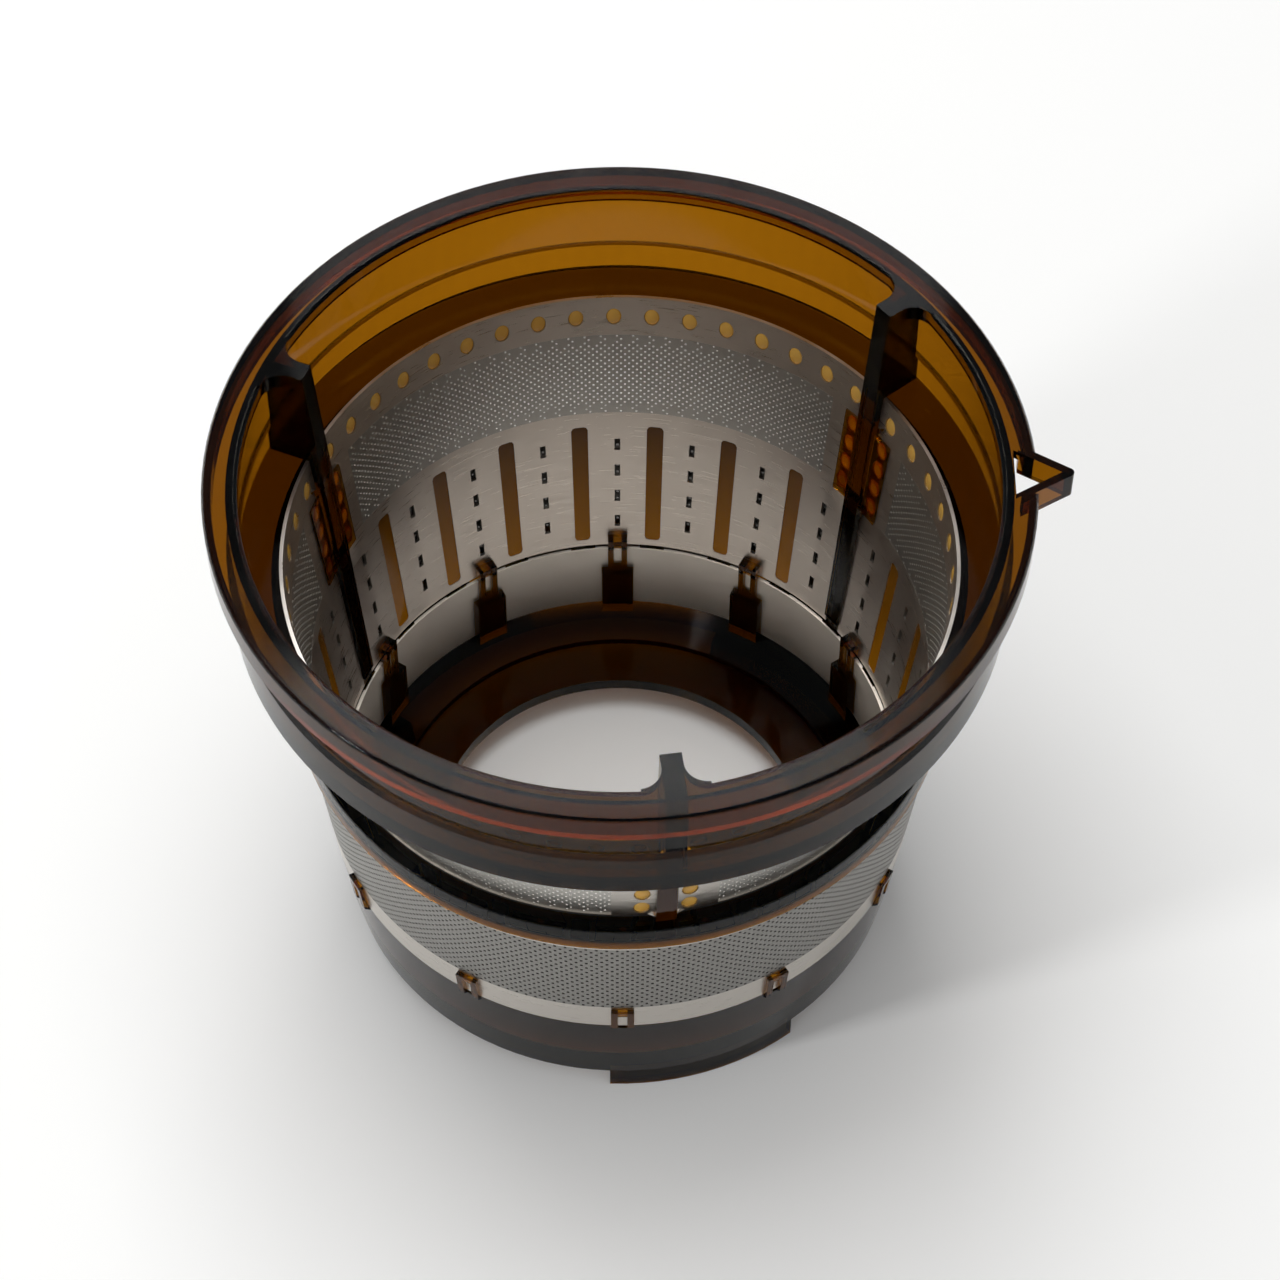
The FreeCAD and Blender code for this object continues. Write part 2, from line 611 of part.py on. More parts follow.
def anchor_cutters(middle):
    """Holes along the upper margin."""
    level = size_of(f"{LEDGE} - {cell('anchor_drop')}")
    count = int(size_of(cell("anchor_count")))
    pitch = size_of(cell("anchor_pitch"))
    return [screen_hole(middle + (index - (count - 1) / 2) * pitch, level) for index in range(count)]


def mesh_cutters(middle):
    """Slits of the mesh zone, long and short by turns so that its edges are serrated."""
    bottom = size_of(f"{HOOP_TOP} + {cell('mesh_bottom_rise')}")
    top = size_of(f"{LEDGE} - {cell('mesh_top_drop')}")
    count = int(size_of(cell("mesh_count")))
    half_span = size_of(cell("mesh_half_span"))
    tooth = size_of(cell("mesh_tooth"))
    width = size_of(cell("mesh_slit_width"))
    cutters = []
    for index in range(count):
        angle = middle - half_span + 2 * half_span * index / (count - 1)
        trim = tooth if index % 2 else 0
        cutters.append(screen_slot(angle, bottom + trim, top - trim, width))
    return cutters


def slot_cutters(middle):
    """Slots in front of the bars, with a column of slits on each side of every slot."""
    low = size_of(f"{SCREEN_BOTTOM} + {cell('slot_bottom_rise')}")
    high = size_of(f"{HOOP_TOP} - {cell('slot_top_drop')}")
    pitch = size_of(SLOT_PITCH)
    slots = round(size_of(f"{RIB_PITCH} / {SLOT_PITCH}")) - 1
    width = size_of(cell("slot_width"))
    cutters = [
        screen_slot(middle + (index - (slots - 1) / 2) * pitch, low, high, width) for index in range(slots)
    ]
    rows = int(size_of(cell("slit_rows")))
    length = size_of(cell("slit_length"))
    slit_width = size_of(cell("slit_width"))
    for column in range(slots + 1):
        angle = middle + (column - slots / 2) * pitch
        for row in range(rows):
            slit_low = low + (high - low - length) * (row + 0.5) / rows
            cutters.append(screen_slot(angle, slit_low, slit_low + length, slit_width))
    return cutters


def sleeve_cutters():
    """Slits round the sleeve above its plain margin."""
    low = size_of(f"{BASE_TOP} + {cell('sleeve_margin')}")
    high = size_of(f"{HOOP_BOTTOM} - {cell('sleeve_top_margin')}")
    count = int(size_of(cell("sleeve_slit_count")))
    radius = size_of(sleeve_inner(f"({(low + high) / 2})"))
    width = size_of(cell("sleeve_slit_width"))
    return [slot_cutter(360 * index / count, low, high, width, radius) for index in range(count)]


def cutter_group(name, cutters):
    group = doc.addObject("Part::Feature", name)
    group.Shape = Part.makeCompound(cutters)
    return group


def cut(name, base, tool):
    result = doc.addObject("Part::Cut", name)
    result.Refine = False
    result.Base = base
    result.Tool = tool
    return result


def inner_screen(number, blanks):
    """One pierced screen segment between two ribs."""
    start = f"({cell('rib_angle')} + {number} * {RIB_PITCH})"
    sector = doc.addObject("Part::Cylinder", f"Sector{number + 1}")
    sector.setExpression("Radius", RIM)
    sector.setExpression("Height", RIM_TOP)
    sector.setExpression("Angle", RIB_PITCH)
    sector.Placement = FreeCAD.Placement(Vector(), FreeCAD.Rotation(Vector(0, 0, 1), 1))
    sector.setExpression("Placement.Rotation.Angle", start)
    segment = doc.addObject("Part::Common", f"ScreenSegment{number + 1}")
    segment.Base = blanks
    segment.Tool = sector
    middle = size_of(f"{start} + {RIB_PITCH} / 2")
    cutters = anchor_cutters(middle) + mesh_cutters(middle) + slot_cutters(middle)
    return cut(f"Screen{number + 1}", segment, cutter_group(f"ScreenHoles{number + 1}", cutters))


def check(objects):
    """Stop if any object failed, or if a sub-part has no sound shape."""
    for item in doc.Objects:
        if "Invalid" in item.State or "Error" in item.State:
            raise RuntimeError(f"{item.Name}: {item.State}")
    for item in objects:
        if item.Shape.isNull() or not item.Shape.isValid():
            raise RuntimeError(f"{item.Label}: bad shape")


# Moulded frame as one body
body = doc.addObject("PartDesign::Body", "FrameBody")
add_collar(body)
add_ribs(body)
add_hoop(body)
add_bars(body)
add_base(body)
add_posts(body)
add_feet(body)
add_lug(body)

# Steel sheets, and the frame moulded round them
screen_blanks = cut("ScreenBlanks", screen_cone(), rib_slabs())
sleeve = sleeve_blank()
lower_band = lower_band_ring()
frame = body
for blank in (screen_blanks, sleeve, lower_band):
    frame = cut(f"FrameRound{blank.Name}", frame, blank)
pierced_sleeve = cut("PiercedSleeve", sleeve, cutter_group("SleeveHoles", sleeve_cutters()))
screens = [inner_screen(number, screen_blanks) for number in range(int(size_of(cell("rib_count"))))]

# Labels, which name the files
frame.Label = "moulded_frame"
pierced_sleeve.Label = "outer_sleeve"
lower_band.Label = "lower_band"
for number, screen in enumerate(screens, start=1):
    screen.Label = f"inner_screen_{number}"

doc.recompute()
sub_parts = [frame, pierced_sleeve, lower_band] + screens
check(sub_parts)
os.makedirs("parts", exist_ok=True)
for item in sub_parts:
    item.Shape.exportStep(f"parts/{item.Label}.step")
    print(item.Label, len(item.Shape.Solids), "solids,", round(item.Shape.Volume), "cubic mm")
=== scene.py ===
import bisect
import math

import bmesh
import bpy
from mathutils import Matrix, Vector


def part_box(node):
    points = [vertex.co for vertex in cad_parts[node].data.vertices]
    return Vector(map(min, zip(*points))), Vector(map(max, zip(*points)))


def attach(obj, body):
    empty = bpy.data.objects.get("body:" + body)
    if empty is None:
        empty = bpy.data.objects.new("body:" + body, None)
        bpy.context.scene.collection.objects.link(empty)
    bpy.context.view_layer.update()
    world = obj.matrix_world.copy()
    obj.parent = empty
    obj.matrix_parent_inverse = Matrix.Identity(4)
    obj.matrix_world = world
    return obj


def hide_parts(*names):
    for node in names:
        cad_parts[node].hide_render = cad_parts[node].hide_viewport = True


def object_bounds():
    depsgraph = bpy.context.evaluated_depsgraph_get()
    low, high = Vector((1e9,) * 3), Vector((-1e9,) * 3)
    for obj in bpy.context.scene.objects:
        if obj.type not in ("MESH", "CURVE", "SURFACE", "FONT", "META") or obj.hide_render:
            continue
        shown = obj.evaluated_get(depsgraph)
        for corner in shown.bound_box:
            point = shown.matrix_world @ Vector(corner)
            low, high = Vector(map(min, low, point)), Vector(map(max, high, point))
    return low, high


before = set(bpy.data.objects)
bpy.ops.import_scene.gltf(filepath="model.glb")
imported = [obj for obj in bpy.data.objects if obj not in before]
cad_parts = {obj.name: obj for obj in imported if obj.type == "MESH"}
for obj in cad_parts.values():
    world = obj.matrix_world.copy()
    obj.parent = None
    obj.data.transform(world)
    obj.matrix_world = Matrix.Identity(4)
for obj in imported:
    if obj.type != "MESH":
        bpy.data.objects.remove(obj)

cad_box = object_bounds()

MM = 0.001

# Levels in mm above the base ring's underside, from the frame, and the hoop's depth below the rim
RIM_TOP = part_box("moulded_frame")[1].z / MM
SCREEN_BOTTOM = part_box("inner_screen_1")[0].z / MM
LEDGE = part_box("inner_screen_1")[1].z / MM
SLEEVE_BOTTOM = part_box("outer_sleeve")[0].z / MM
SLEEVE_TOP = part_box("outer_sleeve")[1].z / MM
BAND_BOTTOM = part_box("lower_band")[0].z / MM
BAND_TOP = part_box("lower_band")[1].z / MM
HOOP_DEPTH = 43.0
HOOP_TOP = RIM_TOP - HOOP_DEPTH

# Small distances in mm: corners of a bent sheet this close become one, points this close are in one place
MERGE_DISTANCE = 0.01
SAME_PLACE = 0.001

# Edges sharper than this stay sharp, in degrees
SHEET_SHARP = 30
PLASTIC_SHARP = 60

# Moulded frame: faces that meet at less than this angle run on, bevels are narrower than this width in mm,
# and a surface is turned if its normals lean out of the half planes through the axis by less than this share
REGION_ANGLE = math.radians(10)
BEVEL_WIDTH = 1.1
TURNED_LEAN = 0.06

# Steel sheets, in mm: outer radius at two levels, the thickness, and a skin that parts them from the plastic
SCREEN_TOP_RADIUS = 48.85
SCREEN_BOTTOM_RADIUS = 43.05
SLEEVE_GAP = 2.35
LOWER_BAND_RADIUS = 42.5
SHEET = 0.5
ETCHED_SHEET = 0.25
SKIN = 0.01

# Ribs and segments
RIB_ANGLE = 38.0
RIB_PITCH = 120.0
RIB_HALF_WIDTH = 1.5

# Oval anchor holes, which the plastic fills
ANCHOR_WIDTH = 2.4
ANCHOR_HEIGHT = 3.3
ANCHOR_COUNT = 17
ANCHOR_PITCH = 6.9
ANCHOR_DROP = 3.9
SIDE_ANCHOR_ROWS = 4
SIDE_ANCHOR_INSET = 1.9
ANCHOR_CELL_SIDES = 6
PLUG_DEPTH = 0.7
PLUG_SEGMENTS = 20
PLUG_RINGS = 10

# Etched mesh of the screens, with staggered holes
MESH_PITCH = 0.625
MESH_HOLE = 0.3
MESH_HALF_SPAN = 50.5
MESH_TOP = LEDGE - 7.6
MESH_BOTTOM = HOOP_TOP + 0.6
TOOTH_ROWS = 3

# Slots with a column of short slits on each side. The stations are shares of half a slot's width, the reach
# takes in the slot's edge with its rounding error, and cells wider than the widest, in degrees, are halved
SLOT_PITCH = 15.0
SLOT_WIDTH = 2.6
SLOT_CORNER = 0.7
SLOT_STATIONS = (-1, -0.8, -0.5, 0.5, 0.8, 1)
SLOT_REACH = 1.01
WIDEST_CELL = 2
FILLING = 0.3
SLOT_TOP = HOOP_TOP - 2.3
SLOT_BOTTOM = SCREEN_BOTTOM + 1.3
SLIT_WIDTH = 0.9
SLIT_LENGTH = 2.5
SLIT_ROWS = 4

# Sleeve outside the slots, with staggered holes
SLEEVE_PITCH = 0.75
SLEEVE_HOLE = 0.4
SLEEVE_MESH_BOTTOM = SLEEVE_BOTTOM + 6.2
SLEEVE_MESH_TOP = SLEEVE_TOP - 2.9
RING_SEGMENTS = 240

# Photograph's camera, in mm from the middle of the rim's top, in degrees and as a share of the image width
CAMERA_BACK = 343.4
CAMERA_UP = 429.6
CAMERA_TILT = 36.19
CAMERA_LENS = 110.585
CAMERA_SHIFT = 0.01574

# In metres, the height that the lamps point at and half the floor's width, and in mm its gap to the feet
LAMP_AIM = 0.04
FLOOR_HALF_WIDTH = 3
FLOOR_GAP = 0.02


# Colours and nodes
def hex_colour(text):
    """Linear colour of an sRGB hex value."""
    parts = [int(text[i:i + 2], 16) / 255 for i in (1, 3, 5)]
    linear = [p / 12.92 if p <= 0.04045 else ((p + 0.055) / 1.055) ** 2.4 for p in parts]
    return (*linear, 1.0)


def add_node(tree, kind, settings=None, inputs=None):
    """Add a node. An input that is a socket gets linked, and any other value is set."""
    node = tree.nodes.new(kind)
    for name, value in (settings or {}).items():
        setattr(node, name, value)
    for name, value in (inputs or {}).items():
        if isinstance(value, bpy.types.NodeSocket):
            tree.links.new(value, node.inputs[name])
        else:
            node.inputs[name].default_value = value
    return node


def new_material(name):
    """Material without nodes, and its node tree."""
    material = bpy.data.materials.new(name)
    material.use_nodes = True
    material.node_tree.nodes.clear()
    return material, material.node_tree


def amber_polyetherimide(name, clear, lit_low_colour, shaded_high_colour):
    """Amber moulded plastic, from a lit colour at the slots' lower ends to a shaded one at their upper ends:
    painted light low down and painted shade high up where the two differ. Thin walls glow orange against the
    light, and thick ones go nearly black."""
    material, tree = new_material(name)
    place = add_node(tree, "ShaderNodeTexCoord").outputs["Object"]
    level = add_node(tree, "ShaderNodeSeparateXYZ", inputs={"Vector": place}).outputs["Z"]
    height = add_node(tree, "ShaderNodeMapRange", inputs={
        "Value": level,
        "From Min": SLOT_BOTTOM * MM,
        "From Max": SLOT_TOP * MM,
    })
    # Painted light at the slots' lower ends, turning to painted shade at their upper ends
    tint = add_node(tree, "ShaderNodeValToRGB", inputs={"Fac": height.outputs["Result"]})
    tint.color_ramp.elements[0].color = hex_colour(lit_low_colour)
    tint.color_ramp.elements[1].color = hex_colour(shaded_high_colour)
    handling = add_node(tree, "ShaderNodeTexNoise", inputs={
        "Vector": place,
        "Scale": 1 / (9 * MM),
        "Detail": 4.0,
        "Roughness": 0.6,
    })
    gloss = add_node(tree, "ShaderNodeMapRange", inputs={
        "Value": handling.outputs["Fac"],
        "From Min": 0.35,
        "From Max": 0.7,
        "To Min": 0.03,
        "To Max": 0.1,
    })
    flow = add_node(tree, "ShaderNodeTexNoise", inputs={
        "Vector": place,
        "Scale": 1 / (4 * MM),
        "Detail": 1.0,
    })
    skin = add_node(tree, "ShaderNodeBump", inputs={
        "Height": flow.outputs["Fac"],
        "Strength": 0.06,
        "Distance": 0.05 * MM,
    })
    surface = add_node(tree, "ShaderNodeBsdfPrincipled", inputs={
        "Base Color": tint.outputs["Color"],
        "Roughness": gloss.outputs["Result"],
        "IOR": 1.3,
        "Specular Tint": hex_colour("#A0A0A0"),
        "Transmission Weight": clear,
        "Normal": skin.outputs["Normal"],
    })
    depth = add_node(tree, "ShaderNodeVolumeAbsorption", inputs={
        "Color": hex_colour("#BCA740"),
        "Density": 1.9 / MM,
    })
    add_node(tree, "ShaderNodeOutputMaterial", inputs={
        "Surface": surface.outputs["BSDF"],
        "Volume": depth.outputs["Volume"],
    })
    return material


def stainless_steel(name, inner_colour, outer_colour, smoothest, roughest):
    """Stainless sheet with a fine grain along it, and a tint for its inner and its outer side."""
    material, tree = new_material(name)
    place = add_node(tree, "ShaderNodeTexCoord").outputs["Object"]
    normal = add_node(tree, "ShaderNodeNewGeometry").outputs["Normal"]
    outward = add_node(tree, "ShaderNodeVectorMath", {"operation": "DOT_PRODUCT"}, {0: place, 1: normal})
    side = add_node(tree, "ShaderNodeMapRange", inputs={
        "Value": outward.outputs["Value"],
        "From Min": -MM,
        "From Max": MM,
    })
    tint = add_node(tree, "ShaderNodeValToRGB", inputs={"Fac": side.outputs["Result"]})
    tint.color_ramp.elements[0].color = hex_colour(inner_colour)
    tint.color_ramp.elements[1].color = hex_colour(outer_colour)
    along = add_node(tree, "ShaderNodeMapping", inputs={
        "Vector": place,
        "Scale": (1 / (5 * MM), 1 / (5 * MM), 1 / (0.25 * MM)),
    })
    grain = add_node(tree, "ShaderNodeTexNoise", inputs={
        "Vector": along.outputs["Vector"],
        "Scale": 1.0,
        "Detail": 3.0,
    })
    satin = add_node(tree, "ShaderNodeMapRange", inputs={
        "Value": grain.outputs["Fac"],
        "From Min": 0.3,
        "From Max": 0.7,
        "To Min": smoothest,
        "To Max": roughest,
    })
    lines = add_node(tree, "ShaderNodeBump", inputs={
        "Height": grain.outputs["Fac"],
        "Strength": 0.08,
        "Distance": 0.02 * MM,
    })
    surface = add_node(tree, "ShaderNodeBsdfPrincipled", inputs={
        "Base Color": tint.outputs["Color"],
        "Metallic": 1.0,
        "Roughness": satin.outputs["Result"],
        "Normal": lines.outputs["Normal"],
    })
    add_node(tree, "ShaderNodeOutputMaterial", inputs={"Surface": surface.outputs["BSDF"]})
    return material


# Steel: tint inside and outside, range of roughness. Plastic: clearness, painted light low down, painted
# shade high up
steel = stainless_steel("stainless steel, rolled sheet", "#D0C6BB", "#D0CAC2", 0.26, 0.38)
etched_steel = stainless_steel("stainless steel, etched mesh", "#B6B3AD", "#CDCAC4", 0.3, 0.42)
# Sleeve mesh: the same steel darkened, which paints the shade in its holes
sleeve_steel_painted_shade = stainless_steel("stainless steel, etched sleeve, painted shade", "#918F8B", "#918F8B", 0.38, 0.5)
# Lower band: the steel's colour made paler, which paints the light that reaches it
band_steel_painted_light = stainless_steel("stainless steel, satin band, painted light", "#F4EDE2", "#F4EDE2", 0.4, 0.52)
amber = amber_polyetherimide("amber polyetherimide, moulded", 1.0, "#FFBC30", "#FFBC30")
# Anchor plugs: the frame's amber made paler and half clear, which paints the light caught on their domes
plug_amber_painted_light = amber_polyetherimide("amber polyetherimide, anchor plugs, painted light", 0.5, "#F0C060", "#F0C060")
# Slot fillings: painted light at their lower ends and painted shade at their upper ends, with a pale
# half-clear body that paints their glow
slot_amber_painted_light = amber_polyetherimide("amber polyetherimide, slot fillings", 0.25, "#D08A12", "#6B4516")


# Flat sheets: x is the angle round the axis in degrees and y is the level in mm
def screen_radius(level):
    """Outer radius of the screens at a level."""
    share = (level - SCREEN_BOTTOM) / (LEDGE - SCREEN_BOTTOM)
    return SCREEN_BOTTOM_RADIUS + share * (SCREEN_TOP_RADIUS - SCREEN_BOTTOM_RADIUS) + SKIN


def sleeve_radius(level):
    """Outer radius of the sleeve, which runs parallel to the screens."""
    return screen_radius(level) + SLEEVE_GAP


def arc(width, radius):
    """Angle that a width takes up at a radius."""
    return math.degrees(width / radius)


def spaced(start, end, count):
    """Evenly spaced stations from start to end, both included."""
    return [start + (end - start) * i / count for i in range(count + 1)]


def add_grid(bm, columns, rows, is_hole=None):
    """Lay a grid on the given stations and leave out the cells that are holes."""
    across = len(columns) - 1
    up = len(rows) - 1
    made = bmesh.ops.create_grid(bm, x_segments=across, y_segments=up, size=0.5)["verts"]
    faces = {face for vert in made for face in vert.link_faces}
    for vert in made:
        vert.co.x = columns[round((vert.co.x + 0.5) * across)]
        vert.co.y = rows[round((vert.co.y + 0.5) * up)]
    if is_hole:
        holes = [face for face in faces if is_hole(*face.calc_center_median().xy)]
        bmesh.ops.delete(bm, geom=holes, context="FACES")


def anchor_size(centre):
    """Half the width of an anchor hole as an angle, and half its height in mm."""
    return arc(ANCHOR_WIDTH / 2, screen_radius(centre[1])), ANCHOR_HEIGHT / 2


def add_round_hole(bm, left, right, low, high, centre):
    """Lay a cell with an anchor hole in it: a square frame bridged to a ring."""
    sides = ANCHOR_CELL_SIDES
    made = bmesh.ops.create_grid(bm, x_segments=sides, y_segments=sides, size=0.5)["verts"]
    inner = [vert for vert in made if not vert.is_boundary]
    border = [vert for vert in made if vert.is_boundary]
    bmesh.ops.delete(bm, geom=inner, context="VERTS")
    bmesh.ops.translate(bm, verts=border, vec=(0.5, 0.5, 0))
    bmesh.ops.scale(bm, verts=border, vec=(right - left, high - low, 1))
    bmesh.ops.translate(bm, verts=border, vec=(left, low, 0))
    ring = bmesh.ops.create_circle(bm, segments=4 * sides, radius=1)["verts"]
    bmesh.ops.scale(bm, verts=ring, vec=(*anchor_size(centre), 1))
    bmesh.ops.translate(bm, verts=ring, vec=(*centre, 0))
    edges = {edge for vert in border + ring for edge in vert.link_edges}
    bmesh.ops.bridge_loops(bm, edges=list(edges))


def add_plug(bm, centre):
    """Rivet of plastic in an anchor hole, with a low dome on the sheet's inner side."""
    made = bmesh.ops.create_uvsphere(bm, u_segments=PLUG_SEGMENTS, v_segments=PLUG_RINGS, radius=1)["verts"]
    bmesh.ops.scale(bm, verts=made, vec=(*anchor_size(centre), PLUG_DEPTH / 2))
    bmesh.ops.translate(bm, verts=made, vec=(*centre, -SHEET / 2))


def holes_and_bars(start, end, count, hole):
    """Stations of evenly spaced holes with bars between them and half a bar at both ends."""
    pitch = (end - start) / count
    stations = [start]
    for i in range(count):
        middle = start + (i + 0.5) * pitch
        stations += [middle - hole / 2, middle + hole / 2]
    return stations + [end]


def face_outwards(bm):
    """Turn every face of a flat sheet to its outer side."""
    bm.normal_update()
    bmesh.ops.reverse_faces(bm, faces=[face for face in bm.faces if face.normal.z < 0])


def wrap(bm, radius_at, middle, half_span=None):
    """Bend flat pieces round the axis, and end them at the ribs' faces where a half span is given."""
    for vert in bm.verts:
        angle, level, proud = vert.co
        radius = radius_at(level) + proud
        if half_span:
            end = half_span - math.degrees(math.asin(RIB_HALF_WIDTH / radius))
            angle = max(-end, min(end, angle))
        turn = math.radians(middle + angle)
        vert.co = (radius * math.cos(turn) * MM, radius * math.sin(turn) * MM, level * MM)
    bmesh.ops.remove_doubles(bm, verts=bm.verts, dist=MERGE_DISTANCE * MM)


def add_piece(name, bm, material, nodes):
    """Turn a bmesh into a piece that stands for CAD nodes."""
    mesh = bpy.data.meshes.new(name)
    bm.to_mesh(mesh)
    bm.free()
    piece = bpy.data.objects.new(name, mesh)
    bpy.context.scene.collection.objects.link(piece)
    mesh.materials.append(material)
    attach(piece, "root")
    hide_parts(*nodes)
    return piece


def thicken(bm, thickness):
    """Give a sheet its thickness and a skin on both faces, inwards from the outer face."""
    bmesh.ops.solidify(bm, geom=bm.faces[:], thickness=(thickness + 2 * SKIN) * MM)
    if bm.calc_volume(signed=True) < 0:
        bmesh.ops.reverse_faces(bm, faces=bm.faces)


def shade_smooth(piece, angle):
    """Smooth shading that stops at edges sharper than an angle."""
    piece.data.shade_smooth()
    piece.data.set_sharp_from_angle(angle=math.radians(angle))


def add_sheet(name, bm, material, node, radius_at, thickness, middle=0, half_span=None):
    """Bend a flat sheet round the axis, thicken it and make it a piece."""
    face_outwards(bm)
    wrap(bm, radius_at, middle, half_span)
    thicken(bm, thickness)
    shade_smooth(add_piece(name, bm, material, [node]), SHEET_SHARP)


# Screens
def add_anchor_strip(bm, plugs):
    """Upper margin with its row of anchor holes."""
    level = LEDGE - ANCHOR_DROP
    for i in range(ANCHOR_COUNT):
        angle = (i - (ANCHOR_COUNT - 1) / 2) * ANCHOR_PITCH
        left = angle - ANCHOR_PITCH / 2
        add_round_hole(bm, left, left + ANCHOR_PITCH, MESH_TOP, LEDGE, (angle, level))
        add_plug(plugs, (angle, level))


def add_side_margins(bm, plugs):
    """Plain strips beside the etched mesh, with anchor holes next to the ribs."""
    height = (MESH_TOP - MESH_BOTTOM) / SIDE_ANCHOR_ROWS
    end = RIB_PITCH / 2
    for i in range(SIDE_ANCHOR_ROWS):
        low = MESH_BOTTOM + i * height
        level = low + height / 2
        inset = math.degrees(math.asin((RIB_HALF_WIDTH + SIDE_ANCHOR_INSET) / screen_radius(level)))
        angle = end - inset
        add_round_hole(bm, MESH_HALF_SPAN, end, low, low + height, (angle, level))
        add_round_hole(bm, -end, -MESH_HALF_SPAN, low, low + height, (-angle, level))
        add_plug(plugs, (angle, level))
        add_plug(plugs, (-angle, level))


def add_mesh(bm, columns, rows, is_open):
    """Etched mesh on stations of holes and bars, with a hole where is_open holds for its column and row."""
    def is_hole(angle, level):
        column = bisect.bisect(columns, angle) - 1
        row = bisect.bisect(rows, level) - 1
        return column % 2 == 1 and row % 2 == 1 and is_open(column // 2, row // 2)

    add_grid(bm, columns, rows, is_hole)


def add_screen_mesh(bm):
    """Staggered holes, with teeth along the upper and lower edges."""
    radius = screen_radius(MESH_TOP)
    hole_columns = round(2 * MESH_HALF_SPAN / arc(MESH_PITCH, radius))
    hole_rows = round((MESH_TOP - MESH_BOTTOM) / MESH_PITCH)
    columns = holes_and_bars(-MESH_HALF_SPAN, MESH_HALF_SPAN, hole_columns, arc(MESH_HOLE, radius))
    rows = holes_and_bars(MESH_BOTTOM, MESH_TOP, hole_rows, MESH_HOLE)

    def is_open(column, row):
        in_tooth = column % 4 < 2 or TOOTH_ROWS <= row < hole_rows - TOOTH_ROWS
        return in_tooth and (column + row) % 2 == 0

    add_mesh(bm, columns, rows, is_open)


def add_sleeve_mesh(bm):
    """Staggered holes all round."""
    radius = sleeve_radius(SLEEVE_MESH_TOP)
    hole_columns = 2 * round(math.pi * radius / SLEEVE_PITCH)
    hole_rows = round((SLEEVE_MESH_TOP - SLEEVE_MESH_BOTTOM) / SLEEVE_PITCH)
    columns = holes_and_bars(-180, 180, hole_columns, arc(SLEEVE_HOLE, radius))
    rows = holes_and_bars(SLEEVE_MESH_BOTTOM, SLEEVE_MESH_TOP, hole_rows, SLEEVE_HOLE)
    add_mesh(bm, columns, rows, lambda column, row: (column + row) % 2 == 0)


def round_slots(bm, slot_centres, half_slot):
    """Round the corners of the slots."""
    straight = 1 - SLOT_CORNER / (SLOT_WIDTH / 2)
    for vert in bm.verts:
        share = min(abs(vert.co.x - centre) for centre in slot_centres) / half_slot
        if straight < share < SLOT_REACH:
            bend = min(1, (share - straight) / (1 - straight))
            lift = SLOT_CORNER * (1 - math.sqrt(1 - bend ** 2))
            if math.isclose(vert.co.y, SLOT_BOTTOM, abs_tol=SAME_PLACE):
                vert.co.y += lift
            elif math.isclose(vert.co.y, SLOT_TOP, abs_tol=SAME_PLACE):
                vert.co.y -= lift


def add_fillings(bm, slot_centres, half_slot):
    """Plastic in the slots, thinner than the sheet."""
    for centre in slot_centres:
        made = bmesh.ops.create_cube(bm, size=1)["verts"]
        bmesh.ops.scale(bm, verts=made, vec=(2 * half_slot, SLOT_TOP - SLOT_BOTTOM, FILLING))
        bmesh.ops.translate(bm, verts=made, vec=(centre, (SLOT_TOP + SLOT_BOTTOM) / 2, -SHEET / 2))


def add_slot_strip(bm, fillings):
    """Slots with the plastic in them and columns of slits, with the plain strip above them."""
    slots = round(RIB_PITCH / SLOT_PITCH) - 1
    slot_centres = [(i - (slots - 1) / 2) * SLOT_PITCH for i in range(slots)]
    slit_centres = [(i - slots / 2) * SLOT_PITCH for i in range(slots + 1)]
    radius = screen_radius((SLOT_TOP + SLOT_BOTTOM) / 2)
    half_slot = arc(SLOT_WIDTH / 2, radius)
    half_slit = arc(SLIT_WIDTH / 2, radius)
    columns = [-RIB_PITCH / 2, RIB_PITCH / 2]
    for centre in slot_centres:
        columns += [centre + share * half_slot for share in SLOT_STATIONS]
    for centre in slit_centres:
        columns += [centre - half_slit, centre + half_slit]
    columns.sort()
    columns += [(a + b) / 2 for a, b in zip(columns, columns[1:]) if b - a > WIDEST_CELL]
    columns.sort()
    spare = SLOT_TOP - SLOT_BOTTOM - SLIT_LENGTH
    slit_lows = [SLOT_BOTTOM + spare * (i + 0.5) / SLIT_ROWS for i in range(SLIT_ROWS)]
    rows = [SCREEN_BOTTOM, SLOT_BOTTOM, SLOT_TOP, MESH_BOTTOM]
    for low in slit_lows:
        rows += [low, low + SLIT_LENGTH]
    rows.sort()

    def is_hole(angle, level):
        in_slot = any(abs(angle - centre) < half_slot for centre in slot_centres)
        in_slit = any(abs(angle - centre) < half_slit for centre in slit_centres)
        in_slit_row = any(low < level < low + SLIT_LENGTH for low in slit_lows)
        return (in_slot and SLOT_BOTTOM < level < SLOT_TOP) or (in_slit and in_slit_row)

    add_grid(bm, columns, rows, is_hole)
    round_slots(bm, slot_centres, half_slot)
    add_fillings(fillings, slot_centres, half_slot)


def mesh_radius(level):
    """Outer radius of the etched mesh, which is thinner than the sheet and flush with its inner face."""
    return screen_radius(level) - SHEET + ETCHED_SHEET


